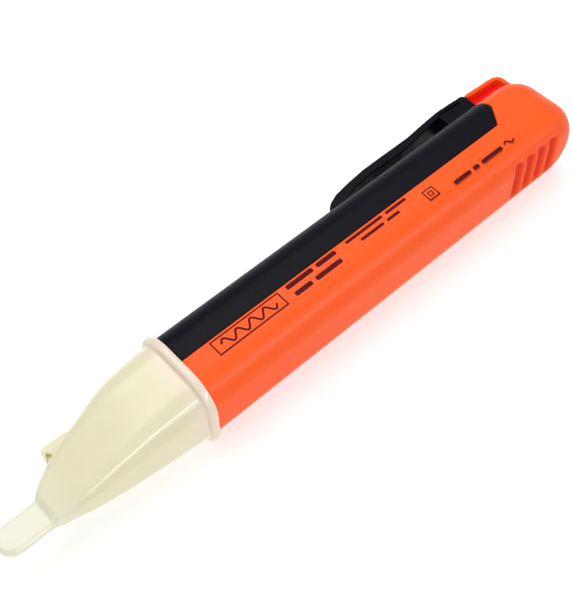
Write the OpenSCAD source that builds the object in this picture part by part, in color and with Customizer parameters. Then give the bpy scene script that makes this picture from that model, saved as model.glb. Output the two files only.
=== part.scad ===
// Non contact voltage tester: a pen with a flat probe tip, a lift-off battery cover and a pocket clip.
// The pen lies on one side. +X runs from the probe to the tail, +Y is the clip side, +Z is up.
// The origin is the middle of the flat side that it lies on.

/* [Body] */
// Length of the body from the tip's flange to the tail
body_l = 111.7; // [110:0.1:112.5]
// Side of the square body section
body_s = 20; // [19.6:0.1:21]
// Radius of the body's long corners
corner_r = 6.4; // [5.6:0.1:6.8]
// Wall of the moulded shells
wall = 1.6; // [1.4:0.1:1.8]

/* [Battery cover] */
// Where the cover's tail end is, from the flange
cover_l = 95.2; // [93:0.1:96]
// Height of the seam between cover and housing, above the pen's axis
seam_y = -0.2; // [-0.6:0.1:0.4]
// Gap between the cover and its neighbours
cover_gap = 0.15; // [0.12:0.01:0.25]

/* [Pocket clip] */
// Width of the clip
clip_w = 6.4; // [5.6:0.1:7]
// Depth of the recess under the clip
clip_recess = 0.5; // [0.3:0.1:0.6]

/* [Probe tip] */
// Wall of the tip
tip_wall = 1.4; // [1.2:0.1:1.5]
// How far the flange stands proud of the body
flange_out = 1.2; // [1:0.1:1.3]
// Thickness of the flange along the pen
flange_t = 2.3; // [2:0.1:2.6]
// Reach of the flat blade from the flange
blade_reach = 47.6; // [46:0.1:49]
// Width of the flat blade
blade_w = 6.7; // [6.2:0.1:6.9]
// Thickness of the flat blade
blade_t = 2.4; // [2.2:0.1:2.6]

/* [Grip] */
// Number of finger grooves under the tail
groove_n = 4; // [2:1:4]
// Distance from one groove to the next
groove_pitch = 3.85; // [3.7:0.05:3.9]
// Depth of each groove
groove_d = 0.9; // [0.4:0.1:1]
// Length of each groove across the pen
groove_l = 11.6; // [10:0.2:12]

/* [Battery cells] */
// Diameter of an AAA cell
cell_d = 10.5; // [10:0.1:10.5]
// Length of an AAA cell with its button
cell_l = 44.5; // [44:0.1:44.5]

/* [Hidden] */
$fn = 48;

half = body_s / 2;
inner_half = half - wall;
inner_r = corner_r - wall;
orange = [1, 0.38, 0.16];
black = [0.12, 0.13, 0.17];
ivory = [0.92, 0.9, 0.78];

// Battery cover outline: the slanted end edge and its small corner
cover_slant = 3.5;
cover_shoulder_y = 4.8;
cover_corner_r = 0.8;
tongue_z = 2.6;
tongue_w = 2.4;

// Clip: its root, its neck and its free tip
root_x = 89;
root_end_x = 98.3;
root_top_y = 15.7;
neck_y = 15;
tip_x = 51;
recess_z = 4.7;

// Fin behind the clip root
fin_gap = 0.4;
fin_rim = 1.1;
fin_web = 2;
fin_back = 1.9;

// Battery compartment
cell_y = -0.5;
cell_front_x = 7.4;
carrier_x = 2.2;
carrier_t = 1.2;
contact_t = 0.4;
strip_w = 3;
contact_x = cell_front_x + 2 * cell_l;
partition_t = 1.2;

// Circuit board
board_t = 1;
board_front_x = -31;
board_rear_x = 1;

// Stations along the tip: distance from the flange, top, bottom, half width, corner radius
TIP = [[0, half, -half, half, corner_r],
       [-7, 9.7, -9.6, 9.4, 6],
       [-14, 8.9, -9.1, 8.3, 5],
       [-21, 6.9, -8.7, 6.6, 3.9],
       [-28, 4.9, -8.2, 4.6, 2.8],
       [-33, 2.6, -7.5, 3, 1.9],
       [-35.6, 1, -7.1, 2.3, 1.5],
       [-37, -0.2, -6.9, 1.2, 1]];
TIP_STEPS = 3;
CORNER_STEPS = 6;
CAVITY_END = -32;

// ---------- helpers ----------

// Places a module that is measured from the flange and the pen's axis
module from_flange() { translate([-body_l / 2, 0, half]) children(); }

// Extrudes a section drawn in Y and Z along the pen
module bar(x0, x1) { translate([x0, 0, 0]) rotate([90, 0, 90]) linear_extrude(x1 - x0) children(); }

// Extrudes a side profile drawn in X and Y across the pen
module plate(z0, z1) { translate([0, 0, z0]) linear_extrude(z1 - z0) children(); }

// A box from its two opposite corners
module box(low, high) { translate(low) cube(high - low); }

// Rectangle with round corners, centred
module rounded(w, h, r) {
    square([w - 2 * r, h], center = true);
    square([w, h - 2 * r], center = true);
    for (sx = [-1, 1], sy = [-1, 1]) translate([sx * (w / 2 - r), sy * (h / 2 - r)]) circle(r);
}

module outer_section() { rounded(body_s, body_s, corner_r); }
module inner_section() { rounded(2 * inner_half, 2 * inner_half, inner_r); }

// Keeps what is below a height
module below(y) {
    intersection() {
        children();
        translate([y - 100, -50]) square([100, 100]);
    }
}

// Catmull-Rom value between rows i and i + 1 of a table, t from 0 to 1
function row(T, i) = T[max(0, min(len(T) - 1, i))];
function blend(T, i, t) =
    let (a = row(T, i - 1), b = row(T, i), c = row(T, i + 1), d = row(T, i + 2))
    b + 0.5 * t * (c - a + t * (2 * a - 5 * b + 4 * c - d + t * (3 * b - 3 * c + d - a)));
function smooth_rows(T, steps) =
    concat([for (i = [0 : len(T) - 2], k = [0 : steps - 1]) blend(T, i, k / steps)], [T[len(T) - 1]]);

// One ring of a rounded section at station s, drawn in by inset
function ring(s, inset) =
    let (top = s[1] - inset, bottom = s[2] + inset, w = s[3] - inset, r = max(0.3, min(s[4] - inset, w)))
    [for (q = [0 : 3], k = [0 : CORNER_STEPS])
        let (a = 90 * (q + k / CORNER_STEPS),
             cz = (q == 0 || q == 3) ? w - r : r - w,
             cy = q < 2 ? top - r : bottom + r)
        [s[0], cy + r * sin(a), cz + r * cos(a)]];

// Closed solid through a list of rings of equal length
module skin(rings) {
    n = len(rings[0]);
    m = len(rings);
    sides = [for (i = [0 : m - 2], j = [0 : n - 1])
        let (k = (j + 1) % n) each [[i * n + j, i * n + k, (i + 1) * n + k],
                                    [i * n + j, (i + 1) * n + k, (i + 1) * n + j]]];
    first = [[for (j = [0 : n - 1]) n - 1 - j]];
    last = [[for (j = [0 : n - 1]) (m - 1) * n + j]];
    polyhedron([for (r = rings) each r], concat(first, sides, last));
}

// Round wire of radius r along a list of points
function unit(v) = v / norm(v);
module wire(points, r, sides = 8) {
    n = len(points);
    function way(i) = unit(points[min(n - 1, i + 1)] - points[max(0, i - 1)]);
    function side(d) = unit(cross(d, abs(d[1]) < 0.9 ? [0, 1, 0] : [0, 0, 1]));
    skin([for (i = [0 : n - 1])
        let (d = way(i), u = side(d), v = cross(u, d))
        [for (k = [0 : sides - 1]) points[i] + r * (u * cos(360 * k / sides) + v * sin(360 * k / sides))]]);
}

// ---------- battery cover ----------

// Side outline of the cover, drawn in by gap
module cover_outline(gap) {
    end_x = cover_l - gap;
    slant_x = end_x - cover_slant - gap / 2;
    difference() {
        polygon([[gap, seam_y + gap], [slant_x, seam_y + gap], [end_x, cover_shoulder_y + gap / 2],
                 [end_x, half + 1], [gap, half + 1]]);
        translate([end_x - cover_corner_r, cover_shoulder_y - 1]) difference() {
            square([cover_corner_r * 2, 1.6]);
            translate([-2, 1.6]) circle(cover_corner_r + 2);
        }
    }
}

// Tongue at the cover's front that tucks in under the housing's neck
module cover_tongue() {
    plate(0, tongue_w) polygon([[0.4, 8.6], [1.4, 8.6], [1.4, 5.2], [-1.8, 5.2], [-1.8, 6.2], [0.4, 6.2]]);
}

// Rib that keeps a cell down
module cover_rib(x) {
    difference() {
        bar(x, x + 1.4) intersection() {
            inner_section();
            translate([3.5, -4]) square([6, 8]);
        }
        translate([x - 1, cell_y, 0]) rotate([0, 90, 0]) cylinder(r = cell_d / 2 + 0.3, h = 4);
    }
}

module battery_cover() {
    color(black) from_flange() {
        difference() {
            intersection() {
                bar(0, cover_l) difference() {
                    outer_section();
                    inner_section();
                }
                plate(-half, half) cover_outline(cover_gap);
            }
            // shallow recess under the clip
            box([tip_x - 4, half - clip_recess, -recess_z], [root_x + 0.4, half + 1, recess_z]);
        }
        for (side = [-1, 1]) translate([0, 0, side * (tongue_z + tongue_w / 2) - tongue_w / 2]) cover_tongue();
        for (x = [22, 44, 60, 82]) cover_rib(x);
    }
}

// ---------- housing ----------

// A round cornered bar whose tail end is its own section turned about an upright line
module round_ended(x0, w, r, reach) {
    turn_x = reach - w / 2;
    bar(x0, turn_x) rounded(w, w, r);
    translate([turn_x, 0, 0]) rotate([-90, 0, 0]) rotate_extrude() intersection() {
        rounded(w, w, r);
        translate([0, -w]) square([w, 2 * w]);
    }
}

// Side outline of the fin behind the clip, drawn in by inset at its top and its tail end
module fin_outline(inset) {
    x0 = root_end_x + fin_gap - inset;
    x1 = body_l - fin_back - inset;
    top = root_top_y - 0.3 - inset;
    r = max(0.4, 1.8 - inset);
    slope = 0.6;
    base = inset > 0 ? half : half - 0.5;
    dip = inset > 0 ? 1.3 : 2.5;
    difference() {
        polygon([[x0, base], [x1 - 3, base], [x1, base - dip], [x1, top - slope], [x0, top]]);
        translate([x1 - r, top - slope - r - 0.15]) difference() {
            square([r + 1, r + 1]);
            circle(r);
        }
    }
}

// Saddle that carries a cell
module saddle(x, t) {
    bar(x, x + t) difference() {
        below(-2.6) inner_section();
        translate([cell_y, 0]) circle(cell_d / 2 + 0.1);
        translate([-inner_half - 1, -strip_w / 2 - 0.3]) square([1.8, strip_w + 0.6]);
    }
}

// Finger grooves across the underside near the tail
module grooves() {
    groove_w = 3.1;
    groove_r = groove_w * groove_w / (8 * groove_d) + groove_d / 2;
    for (i = [0 : groove_n - 1]) translate([88 + groove_w / 2 + i * groove_pitch, -half - groove_r + groove_d, 0]) {
        cylinder(r = groove_r, h = groove_l - 1, center = true);
        for (side = [-1, 1]) translate([0, 0, side * (groove_l - 1) / 2]) sphere(groove_r);
    }
}

module main_housing() {
    neck_half = half - 1.9;
    neck_r = corner_r - 1.9;
    hole = 2 * neck_half - 2.8;
    color(orange) from_flange() {
        difference() {
            union() {
                round_ended(0, body_s, corner_r, body_l);
                plate(-clip_w / 2, clip_w / 2) fin_outline(0);
            }
            round_ended(-1, 2 * inner_half, inner_r, body_l - wall);
            plate(-half - 1, half + 1) cover_outline(0);
            grooves();
            for (side = [-1, 1]) plate(side * (fin_web + clip_w) / 2 - clip_w / 2,
                                       side * (fin_web + clip_w) / 2 + clip_w / 2) fin_outline(fin_rim);
        }
        // neck that carries the tip, and the wall that it stands on
        bar(-4, 0.01) difference() {
            rounded(2 * neck_half, 2 * neck_half, neck_r);
            rounded(hole, hole, neck_r - 1.4);
        }
        bar(0, wall) difference() {
            below(seam_y - 0.1) outer_section();
            rounded(hole, hole, neck_r - 1.4);
            translate([-inner_half, -strip_w / 2 - 0.3]) square([3, strip_w + 0.6]);
        }
        for (x = [14, 32, 46, 58, 76, 88]) saddle(x, 1.4);
        // partition behind the tail contact
        bar(contact_x + contact_t, contact_x + contact_t + partition_t) below(4) inner_section();
    }
}

// ---------- clip ----------

// Side outline of the clip's root, which stands on the cover
module clip_mount() {
    color(black) from_flange() plate(-clip_w / 2, clip_w / 2)
        polygon([[root_x, half], [cover_l - cover_gap, half], [cover_l - cover_gap, half + 0.15],
                 [root_end_x - 0.6, half + 0.2], [root_end_x, half + 0.8], [root_end_x, root_top_y - 0.7],
                 [root_end_x - 0.6, root_top_y - 0.1], [root_x + 4, root_top_y + 0.2],
                 [root_x + 0.2, root_top_y + 0.3], [root_x + 0.2, neck_y - 0.5], [root_x, neck_y - 0.6]]);
}

// Side outline of the springy arm, with a small bump under its tip
module pocket_clip() {
    top = [[root_x, 16], [84, 15.6], [79, 15.1], [70, 15.1], [64, 15], [59, 14.5], [55, 13.9], [52.6, 13]];
    nose = [[51.3, 12.1], [tip_x, 11.3], [51.5, 10.8], [53, 10.7]];
    low = [[54.2, 9.95], [56.2, 9.95], [57.4, 11.9], [61, 12.6], [66, 13], [71, 12.9], [75, 12.8],
           [80, 13.3], [84, 13.9], [root_x, 14.5]];
    color(black) from_flange() plate(-clip_w / 2, clip_w / 2) polygon(concat(top, nose, low));
}

// ---------- tip ----------

module tip_shell() {
    outer = smooth_rows(TIP, TIP_STEPS);
    cavity = [for (s = outer) if (s[0] >= CAVITY_END) s];
    rings = concat([for (i = [len(outer) - 1 : -1 : 0]) ring(outer[i], 0)],
                   [for (s = cavity) ring(s, tip_wall)]);
    blade_y = (TIP[7][1] + TIP[7][2]) / 2;
    blade_x = -blade_reach + blade_w / 2;
    color(ivory) from_flange() {
        difference() {
            union() {
                skin(rings);
                // flange
                bar(-flange_t, 0) difference() {
                    rounded(body_s + 2 * flange_out, body_s + 2 * flange_out, corner_r + flange_out);
                    rounded(body_s - 1.2, body_s - 1.2, corner_r - 0.6);
                }
                // flat blade
                plate(-blade_t / 2, blade_t / 2) {
                    translate([blade_x, blade_y]) circle(blade_w / 2);
                    translate([blade_x, blade_y - blade_w / 2]) square([-35 - blade_x, blade_w]);
                }
                // hooded rib on the clip side
                plate(-1.6, 1.6) polygon([[-22.4, 5.6], [-24.2, 7.4], [-29.6, 7.3], [-30.3, 6.7],
                                          [-30.5, 4.4], [-29, 3.7]]);
            }
            // pocket for the antenna
            box([-blade_reach + 1.6, blade_y - 2.3, -0.45], [CAVITY_END + 1.5, blade_y + 2.3, 0.45]);
        }
    }
}

// ---------- electronics ----------

module circuit_board() {
    color("darkgreen") from_flange() plate(-board_t / 2, board_t / 2)
        polygon([[board_front_x, -6], [board_front_x, -1.2], [-24, 3.6], [-14, 6.4], [-6.4, 6.4],
                 [board_rear_x, 5], [board_rear_x, -6.4], [-14, -7]]);
}

module sensing_antenna() {
    color("gold") from_flange() box([-blade_reach + 2.2, -5.6, -0.25], [board_front_x, -1.6, 0.25]);
}

module indicator_led() {
    led_r = 1.5;
    led_x = -24.6;
    led_h = 3.2;
    led_z = board_t / 2 + led_r + 0.1;
    leg_x = led_x + led_h;
    color("red") from_flange() {
        translate([led_x, -3, led_z]) sphere(led_r);
        translate([led_x, -3, led_z]) rotate([0, 90, 0]) cylinder(r = led_r, h = led_h);
        for (y = [-3.9, -2.5]) {
            box([leg_x - 0.01, y, led_z - 0.2], [leg_x + 1.6, y + 0.4, led_z + 0.2]);
            box([leg_x + 1.2, y, board_t / 2], [leg_x + 1.6, y + 0.4, led_z]);
        }
    }
}

module buzzer() {
    color([0.1, 0.1, 0.1]) from_flange() translate([-8.2, 0, board_t / 2]) difference() {
        cylinder(r = 4.6, h = 4.3);
        translate([0, 0, 3.5]) cylinder(r = 1, h = 1);
    }
}

// A body with two rows of legs, lying under the board
module chip(x, y, l, w, t, legs) {
    under = -board_t / 2;
    translate([x, y, under]) {
        box([-l / 2, -w / 2, -t], [l / 2, w / 2, -0.1]);
        for (i = [0 : legs - 1], s = [-1, 1])
            translate([(i - (legs - 1) / 2) * 1.27, s * (w / 2 + 0.4), 0])
                box([-0.2, -0.5, -0.7], [0.2, 0.5, 0]);
    }
}

module amplifier_chip() { color([0.08, 0.08, 0.09]) from_flange() chip(-9.5, 0.4, 8.7, 3.9, 1.6, 7); }

module switching_transistor() { color([0.1, 0.1, 0.1]) from_flange() chip(-19.4, 2, 2.9, 1.3, 1.1, 2); }

module resistors() {
    color([0.15, 0.15, 0.17]) from_flange()
        for (i = [0 : 4]) box([-23.6 + i * 3.6, -5.6, -board_t / 2 - 0.5], [-21.6 + i * 3.6, -4.4, -board_t / 2]);
}

module capacitors() {
    color([0.5, 0.4, 0.28]) from_flange() {
        translate([-17.2, 1, board_t / 2]) cylinder(r = 2, h = 4.2);
        for (y = [-4.2, -1.8]) box([-16, y - 0.6, board_t / 2], [-14, y + 0.6, board_t / 2 + 1]);
    }
}

// ---------- battery contacts and cells ----------

module contact_carrier() {
    color([0.2, 0.2, 0.2]) from_flange() bar(carrier_x, carrier_x + carrier_t) difference() {
        union() {
            below(seam_y - 0.3) rounded(2 * inner_half - 0.1, 2 * inner_half - 0.1, inner_r);
            below(4.8) rounded(2 * inner_half - 0.8, 2 * inner_half - 0.8, inner_r);
        }
        translate([-inner_half - 1, -strip_w / 2 - 0.3]) square([1.8, strip_w + 0.6]);
    }
}

module front_contact_spring() {
    turns = 3.5;
    steps = 14;
    start_x = carrier_x + carrier_t + 0.35;
    rise = cell_front_x - start_x - 0.35;
    helix = [for (i = [0 : turns * steps])
        let (t = i / (turns * steps), r = 3.6 - 1.4 * t, a = 360 * turns * t)
        [start_x + rise * t, cell_y + r * cos(a), r * sin(a)]];
    color("silver") from_flange() wire(helix, 0.3, 6);
}

module tail_contact_strip() {
    color("silver") from_flange() {
        box([contact_x, -inner_half + 0.05, -strip_w / 2], [contact_x + contact_t, -4, strip_w / 2]);
        box([contact_x, -4.01, -3.6], [contact_x + contact_t, 3.4, 3.6]);
        box([0.6, -inner_half + 0.05, -strip_w / 2], [contact_x + 0.01, -inner_half + 0.4, strip_w / 2]);
    }
}

// AAA cell with its button towards the tail
module cell(x) {
    button_l = 1;
    translate([x, cell_y, 0]) rotate([0, 90, 0]) {
        cylinder(r = cell_d / 2 - 0.6, h = 0.31);
        translate([0, 0, 0.3]) cylinder(r = cell_d / 2, h = cell_l - button_l - 0.6);
        translate([0, 0, cell_l - button_l - 0.31]) cylinder(r = cell_d / 2 - 0.6, h = 0.31);
        translate([0, 0, cell_l - button_l - 0.01]) cylinder(r = 1.9, h = button_l + 0.01);
    }
}

module battery_cell_front() { color([0.1, 0.2, 0.6]) from_flange() cell(cell_front_x); }

module battery_cell_rear() { color([0.1, 0.2, 0.6]) from_flange() cell(cell_front_x + cell_l); }

module supply_wire() {
    color("crimson") from_flange()
        wire([[0.4, -3, 0.95], [0.8, -3, 1.6], [1.2, -3, 2.4], [1.5, -2.4, 3], [1.75, -1.4, 3.2], [1.75, 0, 3]], 0.4);
}

module return_wire() {
    color([0.1, 0.1, 0.1]) from_flange()
        wire([[0.2, -5, -0.95], [0.4, -5.4, -1.3], [0.8, -6, -1.4], [1.2, -6.8, -1.2], [1.4, -7.5, -1]], 0.4);
}

main_housing();
battery_cover();
clip_mount();
pocket_clip();
tip_shell();
circuit_board();
sensing_antenna();
indicator_led();
buzzer();
amplifier_chip();
switching_transistor();
resistors();
capacitors();
contact_carrier();
front_contact_spring();
tail_contact_strip();
battery_cell_front();
battery_cell_rear();
supply_wire();
return_wire();
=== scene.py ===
"""The looks of a non contact voltage tester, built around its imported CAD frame.

Shapes are worked in millimetres, with x from the tail face of the tip's flange towards the tail,
y from the pen's axis towards the clip, and z from the axis out of the face that carries the print.
"""
import math

import bmesh
import bpy
from mathutils import Matrix, Vector


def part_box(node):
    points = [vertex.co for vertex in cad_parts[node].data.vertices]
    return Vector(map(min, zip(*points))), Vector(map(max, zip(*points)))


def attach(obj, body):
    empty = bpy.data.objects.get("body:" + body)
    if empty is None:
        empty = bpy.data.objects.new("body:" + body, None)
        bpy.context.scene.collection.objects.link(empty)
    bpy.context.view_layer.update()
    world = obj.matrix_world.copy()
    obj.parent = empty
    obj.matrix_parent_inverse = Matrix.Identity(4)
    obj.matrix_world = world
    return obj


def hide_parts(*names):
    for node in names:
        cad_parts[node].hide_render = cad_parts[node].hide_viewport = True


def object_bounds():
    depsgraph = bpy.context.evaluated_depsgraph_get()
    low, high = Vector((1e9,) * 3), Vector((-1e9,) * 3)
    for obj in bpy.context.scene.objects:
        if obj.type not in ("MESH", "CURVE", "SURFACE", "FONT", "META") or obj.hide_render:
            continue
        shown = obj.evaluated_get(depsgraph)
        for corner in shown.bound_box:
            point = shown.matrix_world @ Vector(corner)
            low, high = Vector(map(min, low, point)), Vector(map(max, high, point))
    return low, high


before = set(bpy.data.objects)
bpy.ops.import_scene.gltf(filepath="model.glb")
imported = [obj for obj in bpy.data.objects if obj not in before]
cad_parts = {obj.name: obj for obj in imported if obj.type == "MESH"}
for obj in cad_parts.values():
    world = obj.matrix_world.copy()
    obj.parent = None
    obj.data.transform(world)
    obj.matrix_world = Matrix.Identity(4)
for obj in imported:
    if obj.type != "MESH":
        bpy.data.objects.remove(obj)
cad_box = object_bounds()

MM = 0.001
# From the frame: the flange's tail face, half the body's side, the axis' height and the tail's end
FLANGE_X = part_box("tip_shell")[1][0] / MM
COVER_LOW, COVER_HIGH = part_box("battery_cover")
HALF = (COVER_HIGH[2] - COVER_LOW[2]) / 2 / MM
AXIS_Z = (COVER_HIGH[2] + COVER_LOW[2]) / 2 / MM
TAIL_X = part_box("main_housing")[1][0] / MM - FLANGE_X
# The radius of the body's long corners
CORNER_R = 6.4
TO_WORLD = Matrix.Scale(MM, 4) @ Matrix.Translation((FLANGE_X, 0, AXIS_Z))
TO_PEN = TO_WORLD.inverted()


# ---------- meshes ----------

def add_object(name, mesh):
    piece = bpy.data.objects.new(name, mesh)
    bpy.context.scene.collection.objects.link(piece)
    return piece


def mesh_from(name, vertices, faces):
    mesh = bpy.data.meshes.new(name)
    mesh.from_pydata([tuple(v) for v in vertices], [], faces)
    mesh.update()
    return mesh


def skin(name, rings, close_ends=True):
    """A closed mesh through rings that have the same number of points."""
    count = len(rings[0])
    vertices = [point for ring in rings for point in ring]
    faces = []
    for i in range(len(rings) - 1):
        for j in range(count):
            k = (j + 1) % count
            row, following = i * count, (i + 1) * count
            faces.append((row + j, row + k, following + k, following + j))
    if close_ends:
        last = (len(rings) - 1) * count
        faces.append(tuple(reversed(range(count))))
        faces.append(tuple(range(last, last + count)))
    mesh = mesh_from(name, vertices, faces)
    face_outwards(mesh)
    return mesh


def weld(piece):
    work = bmesh.new()
    work.from_mesh(piece.data)
    bmesh.ops.remove_doubles(work, verts=work.verts, dist=0.001)
    work.to_mesh(piece.data)
    work.free()


def face_outwards(mesh):
    work = bmesh.new()
    work.from_mesh(mesh)
    bmesh.ops.recalc_face_normals(work, faces=work.faces)
    work.to_mesh(mesh)
    work.free()


def plate(name, outline, z0, z1):
    """A flat outline in x and y, extruded from z0 to z1."""
    return skin(name, [[(x, y, z0) for x, y in outline], [(x, y, z1) for x, y in outline]])


def join_meshes(name, meshes):
    work = bmesh.new()
    for mesh in meshes:
        work.from_mesh(mesh)
        bpy.data.meshes.remove(mesh)
    joined = bpy.data.meshes.new(name)
    work.to_mesh(joined)
    work.free()
    return joined


def apply_modifiers(piece):
    graph = bpy.context.evaluated_depsgraph_get()
    baked = bpy.data.meshes.new_from_object(piece.evaluated_get(graph))
    piece.modifiers.clear()
    old = piece.data
    piece.data = baked
    bpy.data.meshes.remove(old)


def soften(piece, voxel, rounds):
    """Joins what overlaps in a mesh and rounds its edges: a voxel remesh, then smoothing."""
    remesh = piece.modifiers.new("Voxels", "REMESH")
    remesh.mode = "VOXEL"
    remesh.voxel_size = voxel
    remesh.use_smooth_shade = True
    smooth = piece.modifiers.new("Rounding", "SMOOTH")
    smooth.factor = 0.5
    smooth.iterations = rounds
    apply_modifiers(piece)


def move_vertices(piece, change):
    for vertex in piece.data.vertices:
        vertex.co = change(vertex.co)


def finish_piece(piece, body, material, replaced=()):
    piece.data.transform(TO_WORLD)
    for polygon in piece.data.polygons:
        polygon.use_smooth = True
    piece.data.materials.clear()
    piece.data.materials.append(material)
    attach(piece, body)
    if replaced:
        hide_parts(*replaced)
    return piece


def copy_of_node(node, name):
    piece = add_object(name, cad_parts[node].data.copy())
    piece.data.transform(TO_PEN)
    return piece


# ---------- materials ----------

class Surface:
    """A Principled material, with helpers for its procedural inputs."""

    def __init__(self, name, **values):
        self.material = bpy.data.materials.new(name)
        self.material.use_nodes = True
        self.tree = self.material.node_tree
        self.shader = self.tree.nodes["Principled BSDF"]
        for socket, value in values.items():
            self.shader.inputs[socket.replace("_", " ")].default_value = value
        self.place = self.add("ShaderNodeTexCoord").outputs["Object"]

    def add(self, kind, **settings):
        node = self.tree.nodes.new(kind)
        for key, value in settings.items():
            setattr(node, key, value)
        return node

    def link(self, output, target):
        self.tree.links.new(output, target)

    def noise(self, size_mm, detail=3.0, stretch=(1, 1, 1)):
        """Noise whose features are about size_mm across."""
        mapping = self.add("ShaderNodeMapping")
        mapping.inputs["Scale"].default_value = [s / (size_mm * MM) for s in stretch]
        self.link(self.place, mapping.inputs["Vector"])
        texture = self.add("ShaderNodeTexNoise")
        texture.inputs["Scale"].default_value = 1
        texture.inputs["Detail"].default_value = detail
        self.link(mapping.outputs["Vector"], texture.inputs["Vector"])
        return texture.outputs["Fac"]

    def remap(self, value, low, high, out_low, out_high):
        node = self.add("ShaderNodeMapRange")
        limits = {"From Min": low, "From Max": high, "To Min": out_low, "To Max": out_high}
        for socket, number in limits.items():
            node.inputs[socket].default_value = number
        self.link(value, node.inputs["Value"])
        return node.outputs["Result"]

    def math(self, operation, first, second=0):
        node = self.add("ShaderNodeMath", operation=operation)
        for socket, value in zip(node.inputs, (first, second)):
            if isinstance(value, (int, float)):
                socket.default_value = value
            else:
                self.link(value, socket)
        return node.outputs["Value"]

    def axis(self, index):
        """The piece's own coordinate along x, y or z, in metres."""
        node = self.add("ShaderNodeSeparateXYZ")
        self.link(self.place, node.inputs["Vector"])
        return node.outputs[index]

    def window(self, value, low, high, rise, fall):
        """1 from low to high, reached from 0 within rise of low and left within fall of high."""
        start = self.remap(value, low - rise, low + rise, 0, 1)
        end = self.remap(value, high - fall, high + fall, 1, 0)
        return self.math("MULTIPLY", start, end)

    def box_mask(self, low, high, fades):
        """1 inside a box given in the pen's millimetres, with a rise and a fall for each axis."""
        low, high = TO_WORLD @ Vector(low), TO_WORLD @ Vector(high)
        mask = None
        for index, (rise, fall) in enumerate(fades):
            span = self.window(self.axis(index), low[index], high[index], rise * MM, fall * MM)
            mask = span if mask is None else self.math("MULTIPLY", mask, span)
        return mask

    def either(self, masks):
        """The highest of several masks."""
        highest = masks[0]
        for mask in masks[1:]:
            highest = self.math("MAXIMUM", highest, mask)
        return highest

    def mix(self, factor, first, second):
        node = self.add("ShaderNodeMix", data_type="RGBA")
        self.link(factor, node.inputs["Factor"])
        for name, value in (("A", first), ("B", second)):
            socket = next(s for s in node.inputs if s.name == name and s.type == "RGBA")
            if isinstance(value, tuple):
                socket.default_value = (*value, 1)
            else:
                self.link(value, socket)
        return next(s for s in node.outputs if s.type == "RGBA")

    def colour(self, output):
        self.link(output, self.shader.inputs["Base Color"])

    def roughness(self, low, high, size_mm):
        worn = self.remap(self.noise(size_mm), 0.3, 0.7, low, high)
        self.link(worn, self.shader.inputs["Roughness"])

    def bump(self, height, depth_mm, strength=1.0):
        node = self.add("ShaderNodeBump")
        node.inputs["Strength"].default_value = strength
        node.inputs["Distance"].default_value = depth_mm * MM
        self.link(height, node.inputs["Height"])
        self.link(node.outputs["Normal"], self.shader.inputs["Normal"])


def subsurface(surface, weight, radius_mm, spread):
    shader = surface.shader
    shader.inputs["Subsurface Weight"].default_value = weight
    shader.inputs["Subsurface Radius"].default_value = spread
    shader.inputs["Subsurface Scale"].default_value = radius_mm * MM


# The recess in the fin behind the clip, as low and high corners, and how softly its painted shade
# fades
RECESS_LOW = (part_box("clip_mount")[1][0] / MM - FLANGE_X + 0.2, HALF - 0.1, -1.5)
RECESS_HIGH = (TAIL_X - 3.2, HALF + 4.2, 1.5)
RECESS_FADES = ((0.2, 0.2),) * 3
# The part of the underside that lies below its face where the grip's grooves are
GRIP_LOW = (86.5, -HALF + 0.5, -5.4)
GRIP_HIGH = (103.25, -HALF + 1.95, 5.4)
GRIP_FADES = ((0.5, 0.25), (0.4, 0.05), (0.8, 0.8))


def orange_plastic():
    surface = Surface("orange_plastic", Specular_IOR_Level=0.08)
    tone = surface.mix(surface.noise(9, 2), (0.98, 0.112, 0.020), (1.0, 0.132, 0.026))
    speck = surface.remap(surface.noise(0.25, 4), 0.35, 0.65, 0, 1)
    grain = surface.mix(speck, (0.98, 0.108, 0.019), tone)
    # painted shade: the fin's recess is coloured redder and darker, standing in for light bouncing
    # about inside it
    recess = surface.box_mask(RECESS_LOW, RECESS_HIGH, RECESS_FADES)
    recess_shade = surface.mix(recess, grain, (0.95, 0.016, 0.008))
    # light bounces about inside the grip's grooves, which deepens their colour
    grooves = surface.box_mask(GRIP_LOW, GRIP_HIGH, GRIP_FADES)
    surface.colour(surface.mix(grooves, recess_shade, (0.72, 0.036, 0.011)))
    surface.roughness(0.3, 0.42, 0.6)
    surface.bump(surface.noise(0.12, 3), 0.004, 0.5)
    return surface.material


def black_plastic():
    surface = Surface("black_plastic", Specular_IOR_Level=0.07)
    surface.colour(surface.mix(surface.noise(4, 3),
                               (0.0028, 0.003, 0.0066), (0.0042, 0.0045, 0.009)))
    surface.roughness(0.36, 0.5, 0.5)
    surface.bump(surface.noise(0.18, 4), 0.012, 0.6)
    return surface.material


def ivory_plastic():
    surface = Surface("ivory_plastic", Specular_IOR_Level=0.3)
    surface.shader.subsurface_method = "BURLEY"
    subsurface(surface, 0.5, 1.2, (1.0, 0.9, 0.6))
    cloud = surface.mix(surface.noise(7, 3), (0.74, 0.69, 0.455), (0.79, 0.75, 0.53))
    # paler along the thin blade, and a painted glow: a little pink where the flange meets the
    # orange body, standing in for the body's orange light in the ivory
    along = surface.axis(0)
    pale = surface.remap(along, (FLANGE_X - 40) * MM, (FLANGE_X - 30) * MM, 1, 0)
    blade = surface.mix(pale, cloud, (0.78, 0.78, 0.63))
    pink = surface.remap(along, (FLANGE_X - 7) * MM, (FLANGE_X - 1) * MM, 0, 0.8)
    surface.colour(surface.mix(pink, blade, (0.84, 0.69, 0.60)))
    surface.roughness(0.17, 0.27, 0.7)
    surface.bump(surface.noise(2.5, 2), 0.01, 0.2)
    return surface.material


def print_ink():
    surface = Surface("print_ink", Specular_IOR_Level=0.06)
    surface.colour(surface.mix(surface.noise(0.4, 4), (0.075, 0.004, 0.007), (0.13, 0.008, 0.012)))
    surface.roughness(0.5, 0.65, 0.3)
    return surface.material


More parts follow.
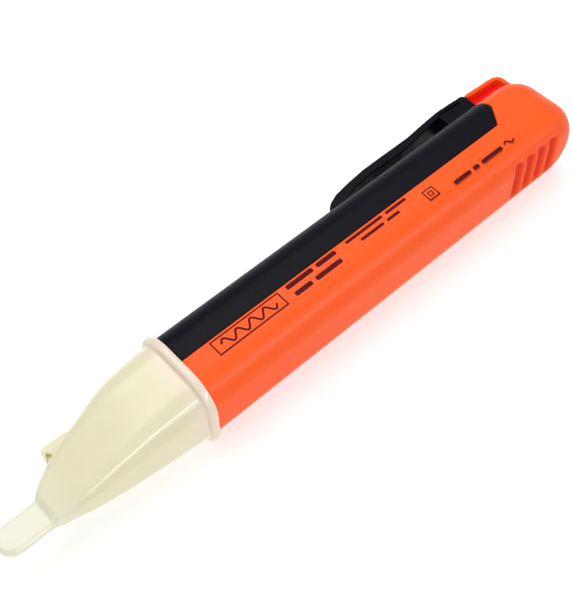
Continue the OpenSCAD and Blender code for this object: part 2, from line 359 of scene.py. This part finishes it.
def solder_mask():
    surface = Surface("board", Specular_IOR_Level=0.5)
    tracks = surface.add("ShaderNodeTexWave", wave_type="BANDS", bands_direction="Y")
    tracks.inputs["Scale"].default_value = 180
    tracks.inputs["Distortion"].default_value = 3
    surface.link(surface.place, tracks.inputs["Vector"])
    copper = surface.remap(tracks.outputs["Fac"], 0.55, 0.6, 0, 1)
    surface.colour(surface.mix(copper, (0.01, 0.11, 0.035), (0.03, 0.2, 0.06)))
    surface.roughness(0.25, 0.4, 0.5)
    surface.bump(tracks.outputs["Fac"], 0.03, 0.5)
    return surface.material


def metal(name, dark, light, low, high, grain):
    surface = Surface(name, Metallic=1.0)
    surface.colour(surface.mix(surface.noise(1.5, 3, grain), dark, light))
    surface.roughness(low, high, 0.4)
    surface.bump(surface.noise(0.15, 2, grain), 0.004, 0.5)
    return surface.material


def component(name, dark, light, low, high):
    surface = Surface(name, Specular_IOR_Level=0.4)
    surface.colour(surface.mix(surface.noise(0.6, 4), dark, light))
    surface.roughness(low, high, 0.3)
    surface.bump(surface.noise(0.1, 4), 0.006, 0.6)
    return surface.material


SLEEVE_FADE = 0.1 * MM
RIB_PITCH = 1.6 * MM


def cell_sleeve():
    """A blue sleeve with a pale ribbed band near one end, and bare metal at both ends."""
    surface = Surface("cell_blue", Specular_IOR_Level=0.5)
    along = surface.axis(0)
    bands, ends = [], []
    for node in ("battery_cell_front", "battery_cell_rear"):
        low, high = (corner[0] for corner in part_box(node))
        length = high - low
        bands.append((low + 0.62 * length, low + 0.86 * length))
        ends += [(low - MM, low + 1.5 * MM), (high - 0.6 * MM, high + MM)]
    band, bare = (surface.either([surface.window(along, start, end, SLEEVE_FADE, SLEEVE_FADE)
                                  for start, end in spans]) for spans in (bands, ends))
    ribs = surface.math("SINE", surface.math("MULTIPLY", along, 2 * math.pi / RIB_PITCH))
    pale = surface.mix(surface.remap(ribs, -0.3, 0.3, 0, 1), (0.45, 0.47, 0.5), (0.72, 0.74, 0.76))
    blue = surface.mix(surface.noise(6, 3), (0.012, 0.035, 0.26), (0.02, 0.05, 0.36))
    sleeve = surface.mix(band, blue, pale)
    surface.colour(surface.mix(bare, sleeve, (0.6, 0.6, 0.6)))
    surface.link(bare, surface.shader.inputs["Metallic"])
    surface.roughness(0.16, 0.28, 0.8)
    return surface.material


def red_lens():
    surface = Surface("led_red", Transmission_Weight=0.6, IOR=1.5)
    surface.colour(surface.mix(surface.noise(1.2, 2), (0.75, 0.02, 0.01), (0.9, 0.05, 0.03)))
    surface.roughness(0.05, 0.12, 1)
    return surface.material


# ---------- outer pieces ----------

# Voxel size and rounds of smoothing for each moulding: the more rounds, the rounder its edges
HOUSING_EDGES = (0.22, 5)
COVER_EDGES = (0.22, 3)
ARM_EDGES = (0.15, 7)
ROOT_EDGES = (0.11, 3)
TIP_EDGES = (0.17, 5)

# The grip's grooves: the first one's middle, their spacing, half width, number and reach
GROOVE_X = 89.55
GROOVE_PITCH = 3.85
GROOVE_HALF = 1.75
GROOVE_COUNT = 4
GROOVE_REACH = 6.8
# How much deeper they go than in the frame, how soon their ends fade, and the depth never passed
GROOVE_MORE = 0.5
GROOVE_END = 1.5
GROOVE_FLOOR = 1.5


def deepen_groove(p):
    """Sinks a point of the grip's grooves, steeply towards the tip and gently towards the tail."""
    room = -HALF + GROOVE_FLOOR - p.y
    if room <= 0 or abs(p.z) > GROOVE_REACH:
        return p
    for i in range(GROOVE_COUNT):
        across = (p.x - GROOVE_X - i * GROOVE_PITCH) / GROOVE_HALF
        if -1 < across < 1:
            profile = math.sin(math.pi * ((across + 1) / 2) ** 0.6)
            fade = min(1, (GROOVE_REACH - abs(p.z)) / GROOVE_END)
            return Vector((p.x, p.y + min(GROOVE_MORE, room) * profile * fade, p.z))
    return p


def make_housing():
    piece = copy_of_node("main_housing", "orange_housing")
    soften(piece, *HOUSING_EDGES)
    move_vertices(piece, deepen_groove)
    finish_piece(piece, "housing", ORANGE, ["main_housing"])


def make_cover():
    piece = copy_of_node("battery_cover", "black_cover")
    soften(piece, *COVER_EDGES)
    finish_piece(piece, "cover", BLACK, ["battery_cover"])


def cut(piece, cutter_mesh):
    cutter = add_object("cutter", cutter_mesh)
    change = piece.modifiers.new("Cut", "BOOLEAN")
    change.operation = "DIFFERENCE"
    change.solver = "EXACT"
    change.object = cutter
    apply_modifiers(piece)
    bpy.data.objects.remove(cutter)


# Smoothing draws the arm's root end in, so its last stretch is moved back to meet the root
ARM_END = 0.7
ARM_STRETCH = 0.4
# The groove along each side of the root: its depth and width, and where it starts and ends,
# in x from the arm's neck and in height above the body
SIDE_GROOVE_DEPTH = 0.45
SIDE_GROOVE_WIDTH = 0.45
SIDE_GROOVE_START = (-1, 4.75)
SIDE_GROOVE_END = (7, 4.15)


def make_clip():
    arm = copy_of_node("pocket_clip", "clip_arm")
    arm_low, arm_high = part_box("pocket_clip")
    neck_x = arm_high[0] / MM - FLANGE_X
    half_width = (arm_high[2] - arm_low[2]) / 2 / MM
    soften(arm, *ARM_EDGES)
    move_vertices(arm, lambda p: p + Vector((ARM_STRETCH if p.x > neck_x - ARM_END else 0, 0, 0)))
    finish_piece(arm, "clip", BLACK, ["pocket_clip"])
    root = copy_of_node("clip_mount", "clip_root")
    weld(root)
    (x0, y0), (x1, y1) = SIDE_GROOVE_START, SIDE_GROOVE_END
    groove = [(neck_x + x0, HALF + y0), (neck_x + x0, HALF + y0 + SIDE_GROOVE_WIDTH),
              (neck_x + x1, HALF + y1 + SIDE_GROOVE_WIDTH), (neck_x + x1, HALF + y1)]
    for side in (-1, 1):
        z0, z1 = sorted((side * (half_width - SIDE_GROOVE_DEPTH), side * (half_width + 1)))
        cut(root, plate("groove", groove, z0, z1))
    soften(root, *ROOT_EDGES)
    finish_piece(root, "cover", BLACK, ["clip_mount"])


# Stations along the tip: distance from the flange, top, bottom, half width, corner radius
TIP_STATIONS = [(0, HALF, -HALF, HALF, CORNER_R),
                (-7, 9.7, -9.6, 9.4, 6.0),
                (-14, 8.9, -9.1, 8.3, 5.0),
                (-21, 6.9, -8.7, 6.6, 3.9),
                (-28, 4.9, -8.2, 4.6, 2.8),
                (-33, 2.6, -7.5, 3.0, 1.9),
                (-35.6, 1.0, -7.1, 2.3, 1.5)]
TIP_NOSE = (-37, -0.2, -6.9, 1.2, 1.0)
TIP_WALL = 1.4
TIP_CAVITY_END = -32
FLANGE_T = 2.3
FLANGE_OUT = 1.2
FLANGE_OVERLAP = 0.6
RIM_FLATNESS = 3.2
RIM_FULLNESS = 0.6
BLADE_REACH = 47.6
BLADE_ROOT = -34.5
BLADE_W = 6.7
BLADE_T = 2.4
BLADE_Y = -3.55
BLADE_CHAMFER = 0.75
# Half the height of the blade's upright edge
BLADE_EDGE = 0.55
# The hood's side outline, from its back over the crest to its foot, and the pocket's edge
HOOD_BACK = (-22.2, 5.8)
HOOD_CREST = [(-23.6, 7.25), (-29.6, 7.5), (-30.35, 7.0)]
HOOD_FRONT = (-30.65, 4.5)
HOOD_FOOT = (-29, 3.6)
HOOD_POCKET = [(-30.3, 4.4), (-29.8, 6.2), (-28.9, 4.6), (-28.6, 3.6)]
# Half the thickness of the web in the middle, and where each cheek starts and ends
HOOD_WEB = 0.4
HOOD_CHEEK_IN = 0.3
HOOD_CHEEK_OUT = 1.6
STATION_STEPS = 8
CORNER_STEPS = 10
ARC_STEPS = 24


def between(p, q, r, s, t):
    """A Catmull-Rom curve from q at t = 0 to r at t = 1, where p comes before q and s after r."""
    return q + 0.5 * t * (r - p + t * (2 * p - 5 * q + 4 * r - s + t * (3 * q - 3 * r + s - p)))


def smooth_stations(stations, steps):
    """The stations with smooth rows between them."""
    rows = []
    last = len(stations) - 1
    for i in range(last):
        around = [stations[max(0, min(last, i + k))] for k in (-1, 0, 1, 2)]
        for step in range(steps):
            rows.append(tuple(between(*values, step / steps) for values in zip(*around)))
    return rows + [stations[-1]]


def section(station, inset=0.0):
    """A rounded box section at a station, drawn in by inset."""
    x, top, bottom, width, radius = station
    top, bottom, width = top - inset, bottom + inset, width - inset
    radius = max(0.3, min(radius - inset, width))
    points = []
    for quarter in range(4):
        side = 1 if quarter in (0, 3) else -1
        centre_y = top - radius if quarter < 2 else bottom + radius
        for step in range(CORNER_STEPS + 1):
            angle = math.radians(90 * (quarter + step / CORNER_STEPS))
            points.append((x, centre_y + radius * math.sin(angle),
                           side * (width - radius) + radius * math.cos(angle)))
    return points


def tip_shell_mesh():
    rows = smooth_stations(TIP_STATIONS, STATION_STEPS)
    inner = [row for row in rows if row[0] >= TIP_CAVITY_END]
    rings = [section(TIP_NOSE)] + [section(row) for row in reversed(rows)]
    return skin("tip_skin", rings + [section(row, TIP_WALL) for row in inner])


def body_ring(x, grow):
    """The body's own section at x, drawn out by grow."""
    return section((x, HALF + grow, -HALF - grow, HALF + grow, CORNER_R + grow))


def flange_mesh():
    """The flange's ring, with a round rim, which reaches a little way into the tip's wall."""
    steps = 10
    rings = []
    for i in range(steps + 1):
        across = 2 * i / steps - 1
        proud = FLANGE_OUT * (1 - abs(across) ** RIM_FLATNESS) ** RIM_FULLNESS
        rings.append(body_ring(-FLANGE_T * (1 - i / steps), proud))
    rings += [body_ring(0, -FLANGE_OVERLAP), body_ring(-FLANGE_T, -FLANGE_OVERLAP), rings[0]]
    return skin("flange_ring", rings, close_ends=False)


def blade_mesh():
    """The flat blade: a tongue with a round end and a chamfer all round its edge."""
    def outline(inset):
        radius = BLADE_W / 2 - inset
        centre = -BLADE_REACH + BLADE_W / 2
        arc = [math.radians(90 + 180 * i / ARC_STEPS) for i in range(ARC_STEPS + 1)]
        points = [(centre + radius * math.cos(a), BLADE_Y + radius * math.sin(a)) for a in arc]
        return points + [(BLADE_ROOT, BLADE_Y - radius), (BLADE_ROOT, BLADE_Y + radius)]
    levels = [(-BLADE_T / 2, BLADE_CHAMFER), (-BLADE_EDGE, 0), (BLADE_EDGE, 0),
              (BLADE_T / 2, BLADE_CHAMFER)]
    return skin("blade", [[(x, y, z) for x, y in outline(inset)] for z, inset in levels])


def hood_meshes():
    """The small hood on the clip side of the tip, with a triangular pocket in each side."""
    web = [HOOD_BACK, *HOOD_CREST, HOOD_FRONT, HOOD_FOOT]
    cheek = [HOOD_BACK, *HOOD_CREST, HOOD_FRONT, *HOOD_POCKET]
    return [plate("hood", web, -HOOD_WEB, HOOD_WEB),
            plate("hood", cheek, HOOD_CHEEK_IN, HOOD_CHEEK_OUT),
            plate("hood", cheek, -HOOD_CHEEK_OUT, -HOOD_CHEEK_IN)]


def make_tip():
    meshes = [tip_shell_mesh(), flange_mesh(), blade_mesh(), *hood_meshes()]
    piece = add_object("ivory_tip", join_meshes("tip", meshes))
    soften(piece, *TIP_EDGES)
    finish_piece(piece, "housing", IVORY, ["tip_shell"])


# ---------- print ----------

# The ink's back and front
INK_LOW = HALF - 0.02
INK_HIGH = HALF + 0.04
WORD_GAP = 1.1


def bar_mark(x0, y0, x1, y1):
    """A printed bar with round ends, from corner to corner."""
    radius = min(x1 - x0, y1 - y0) * 0.3
    centres = ((x1 - radius, y1 - radius), (x0 + radius, y1 - radius),
               (x0 + radius, y0 + radius), (x1 - radius, y0 + radius))
    points = []
    for quarter, (cx, cy) in enumerate(centres):
        for step in range(5):
            angle = math.radians(90 * quarter + 22.5 * step)
            points.append((cx + radius * math.cos(angle), cy + radius * math.sin(angle)))
    return plate("bar", points, INK_LOW, INK_HIGH)


def word_bars(x, y, height, lengths):
    """A row of bars that stand in for words: its left end and top, then each bar's length."""
    bars = []
    for length in lengths:
        bars.append(bar_mark(x, y - height, x + length, y))
        x += length + WORD_GAP
    return bars


def frame_mark(x0, y0, x1, y1, line):
    """A printed rectangle outline."""
    outer, inner = (
        [(x0 + d, y0 + d), (x1 - d, y0 + d), (x1 - d, y1 - d), (x0 + d, y1 - d)] for d in (0, line))
    paths = ((outer, INK_LOW), (outer, INK_HIGH), (inner, INK_HIGH), (inner, INK_LOW),
             (outer, INK_LOW))
    return skin("frame", [[(x, y, z) for x, y in path] for path, z in paths], close_ends=False)


def wave_mark(x0, x1, y, height, line, turns):
    """A printed sine wave, the sign of alternating current."""
    steps = 16 * turns
    rings = []
    for i in range(steps + 1):
        t = i / steps
        x = x0 + (x1 - x0) * t
        phase = 2 * math.pi * turns * t
        slope = height / 2 * 2 * math.pi * turns / (x1 - x0) * math.cos(phase)
        reach = line / 2 / math.hypot(1, slope)
        middle = y + height / 2 * math.sin(phase)
        upper = (x - slope * reach, middle + reach)
        lower = (x + slope * reach, middle - reach)
        rings.append([(*upper, INK_LOW), (*lower, INK_LOW), (*lower, INK_HIGH), (*upper, INK_HIGH)])
    return skin("wave", rings)


def make_print():
    marks = {
        "print_wave_panel": [frame_mark(6.4, -4.5, 24.4, -0.75, 0.3),
                             wave_mark(8.2, 22.6, -2.62, 1.9, 0.45, 4)],
        "print_heading": [*word_bars(26.4, -0.75, 1.1, (7.2, 5.4)),
                          *word_bars(26.8, -3.1, 1.1, (4.6, 7.2))],
        "print_range": [*word_bars(43.2, -0.8, 0.7, (10.6, 6.0)),
                        *word_bars(46.2, -2.4, 0.7, (6.6, 3.6))],
        "print_double_square": [frame_mark(64.5, -5.3, 67.5, -2.4, 0.26),
                                frame_mark(65.35, -4.45, 66.65, -3.25, 0.24)],
        "print_rating": [*word_bars(71.9, -4.9, 1.0, (5.0, 1.6, 6.4)),
                         wave_mark(88.2, 91.0, -5.3, 1.1, 0.35, 1)],
    }
    for name, meshes in marks.items():
        piece = add_object(name, join_meshes(name, meshes))
        finish_piece(piece, "housing", INK)
        for polygon in piece.data.polygons:
            polygon.use_smooth = False


# ---------- stage ----------

# The camera's heading from +Y towards +X, its tilt down and its roll, and the point it looks at
VIEW_HEADING = math.radians(40.65)
VIEW_DOWN = math.radians(55.83)
VIEW_ROLL = math.radians(1.82)
VIEW_DISTANCE = 0.2256
VIEW_AIM = Vector(((FLANGE_X + 27.75) * MM, 0.0004, 0.0100))
VIEW_LENS = 62.5
FLOOR_REACH = 8
FLOOR_DROP = 0.0001
WORLD_STRENGTH = 0.42


def make_camera():
    forward = Vector((math.sin(VIEW_HEADING) * math.cos(VIEW_DOWN),
                      math.cos(VIEW_HEADING) * math.cos(VIEW_DOWN), -math.sin(VIEW_DOWN)))
    level = forward.cross(Vector((0, 0, 1))).normalized()
    upright = level.cross(forward)
    up = math.cos(VIEW_ROLL) * upright + math.sin(VIEW_ROLL) * level
    right = forward.cross(up)
    data = bpy.data.cameras.new("camera")
    data.lens = VIEW_LENS
    data.clip_start = 0.01
    camera = bpy.data.objects.new("camera", data)
    bpy.context.scene.collection.objects.link(camera)
    turn = Matrix((right, up, -forward)).transposed().to_4x4()
    camera.matrix_world = Matrix.Translation(VIEW_AIM - forward * VIEW_DISTANCE) @ turn
    bpy.context.scene.camera = camera


def make_light(name, place, aim, size, power, glint_only=False):
    """An area light. One that is glint_only is seen in reflections and lights nothing else."""
    data = bpy.data.lights.new(name, "AREA")
    data.shape = "RECTANGLE"
    data.size, data.size_y = size
    data.energy = power
    light = bpy.data.objects.new(name, data)
    bpy.context.scene.collection.objects.link(light)
    light.visible_diffuse = not glint_only
    turn = (Vector(aim) - Vector(place)).to_track_quat("-Z", "Y").to_matrix().to_4x4()
    light.matrix_world = Matrix.Translation(place) @ turn


def make_floor():
    surface = Surface("floor_paper", Specular_IOR_Level=0.1, Roughness=0.9,
                      Emission_Color=(1, 1, 1, 1), Emission_Strength=0.58)
    surface.colour(surface.mix(surface.noise(40, 2), (0.56, 0.56, 0.56), (0.58, 0.58, 0.58)))
    floor_z = cad_box[0][2] - FLOOR_DROP
    corners = [(x * FLOOR_REACH, y * FLOOR_REACH, floor_z)
               for x, y in ((-1, -1), (1, -1), (1, 1), (-1, 1))]
    floor = add_object("floor", mesh_from("floor", corners, [(0, 1, 2, 3)]))
    floor.data.materials.append(surface.material)


def make_lighting():
    world = bpy.data.worlds.new("studio")
    world.use_nodes = True
    background = world.node_tree.nodes["Background"]
    background.inputs["Color"].default_value = (1, 1, 1, 1)
    background.inputs["Strength"].default_value = WORLD_STRENGTH
    bpy.context.scene.world = world
    bpy.context.scene.view_settings.view_transform = "Standard"
    make_light("key", place=(0.05, 0.18, 0.6), aim=(0, 0, 0), size=(0.5, 0.5), power=2.9)
    make_light("front", place=(-0.2, -0.5, 0.25), aim=(0, 0, 0.01), size=(0.15, 0.1), power=0.7)
    make_light("glint", place=(0.12, -0.5, 0.26), aim=(0, 0, 0.01), size=(0.5, 0.03), power=3.5,
               glint_only=True)


# ---------- build ----------

ORANGE = orange_plastic()
BLACK = black_plastic()
IVORY = ivory_plastic()
INK = print_ink()

INNER_MATERIALS = {
    ("circuit_board",): solder_mask(),
    ("sensing_antenna",):
        metal("brass", (0.62, 0.42, 0.14), (0.8, 0.6, 0.24), 0.22, 0.35, (1, 4, 4)),
    ("indicator_led",): red_lens(),
    ("front_contact_spring", "tail_contact_strip"):
        metal("spring_steel", (0.45, 0.45, 0.46), (0.7, 0.7, 0.7), 0.2, 0.35, (4, 1, 1)),
    ("contact_carrier", "buzzer", "amplifier_chip", "switching_transistor", "resistors",
     "return_wire"):
        component("component_black", (0.015, 0.015, 0.018), (0.03, 0.03, 0.033), 0.45, 0.6),
    ("capacitors",): component("capacitor_tan", (0.28, 0.18, 0.08), (0.4, 0.27, 0.13), 0.35, 0.5),
    ("supply_wire",): component("wire_red", (0.42, 0.01, 0.01), (0.55, 0.02, 0.015), 0.4, 0.5),
    ("battery_cell_front", "battery_cell_rear"): cell_sleeve(),
}


def dress_inner_nodes():
    for nodes, material in INNER_MATERIALS.items():
        for node in nodes:
            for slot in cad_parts[node].material_slots:
                slot.material = material


make_camera()
make_floor()
make_lighting()
make_housing()
make_cover()
make_clip()
make_tip()
make_print()
dress_inner_nodes()
